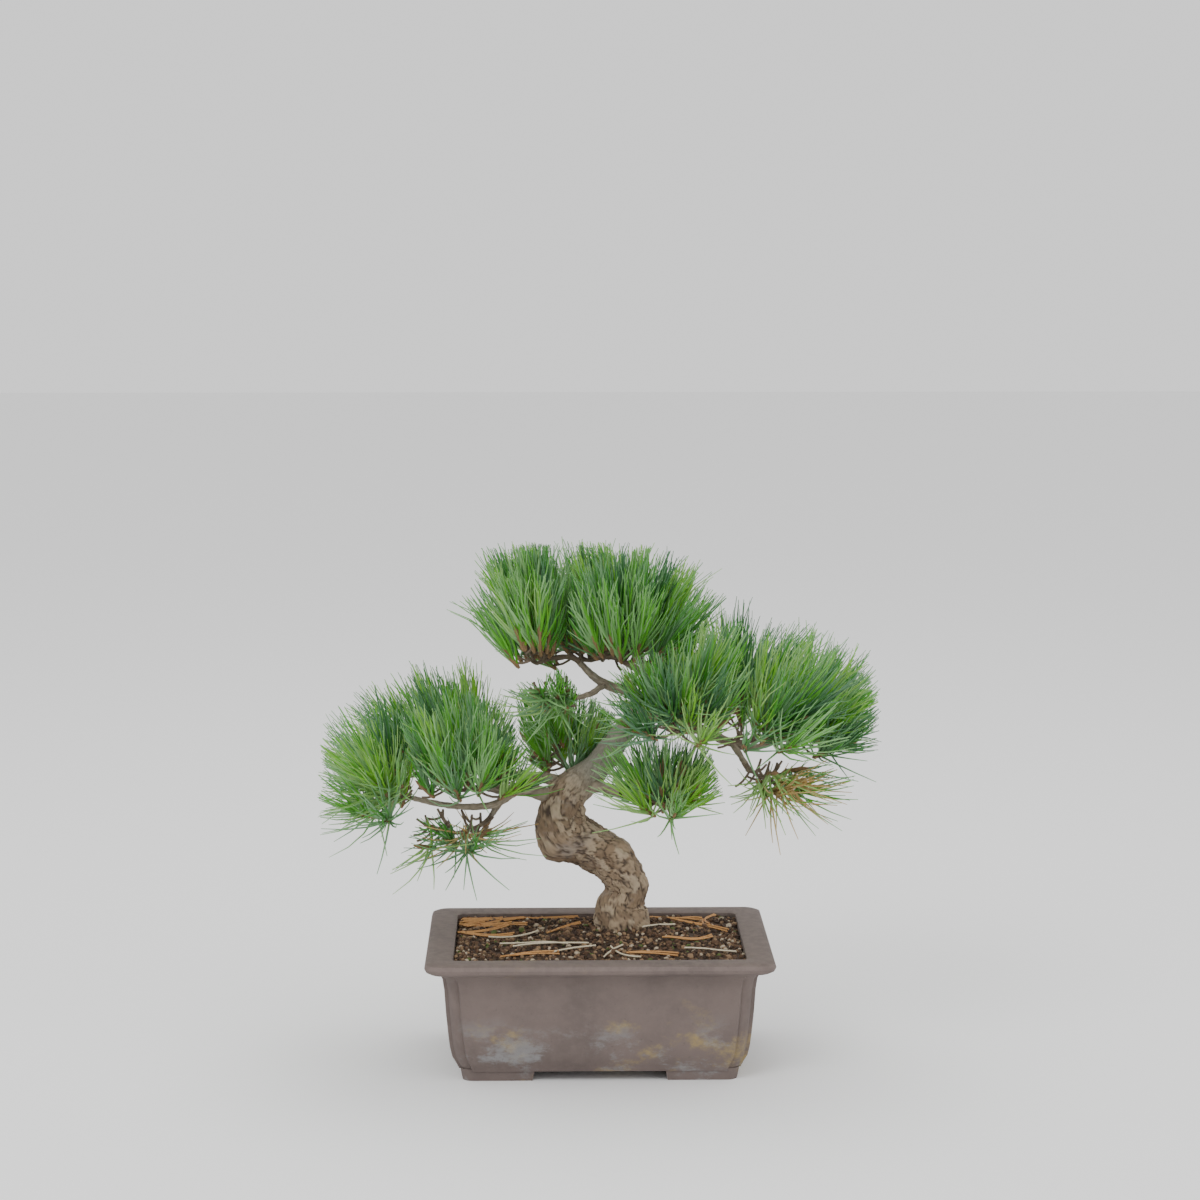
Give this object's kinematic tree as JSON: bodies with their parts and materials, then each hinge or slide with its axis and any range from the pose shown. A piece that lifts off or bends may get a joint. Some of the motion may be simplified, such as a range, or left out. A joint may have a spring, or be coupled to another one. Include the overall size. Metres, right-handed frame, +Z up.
{
  "type": "japanese white pine bonsai",
  "caption": "Small pine bonsai with an S-curved flaky trunk and spreading needle pads in a shallow rectangular unglazed clay pot.",
  "frame": {"origin": "on the ground under the middle of the pot, which is also the middle of the tree's box", "axes": "+X along the pot to the right, -Y to the front, +Z up"},
  "size_m": [0.3209, 0.1898, 0.304],
  "materials": {
    "unglazed_clay": "matte",
    "soil": "matte",
    "bark": "matte",
    "needles": "matte",
    "training_wire": "satin"
  },
  "bodies": {
    "root": {"bough_inner": "bark", "bough_left": "bark", "bough_left_far": "bark", "bough_left_low": "bark", "bough_left_rear": "bark", "bough_middle": "bark", "bough_rear": "bark", "bough_rear_low": "bark", "bough_right": "bark", "bough_right_drop": "bark", "bough_right_front": "bark", "bough_right_low": "bark", "bough_right_rear": "bark", "bough_top": "bark", "bough_top_rear": "bark", "bough_upper_left": "bark", "bough_upper_left_low": "bark", "needles_far_left": "needles", "needles_inner": "needles", "needles_left": "needles", "needles_left_low": "needles", "needles_left_rear": "needles", "needles_middle": "needles", "needles_rear": "needles", "needles_rear_low": "needles", "needles_right": "needles", "needles_right_drop": "needles", "needles_right_front": "needles", "needles_right_low": "needles", "needles_right_rear": "needles", "needles_top": "needles", "needles_top_left": "needles", "needles_top_left_low": "needles", "needles_top_rear": "needles", "pot": "unglazed_clay", "soil": "soil", "training_wire": "training_wire", "trunk": "bark"}
  },
  "joints": []
}
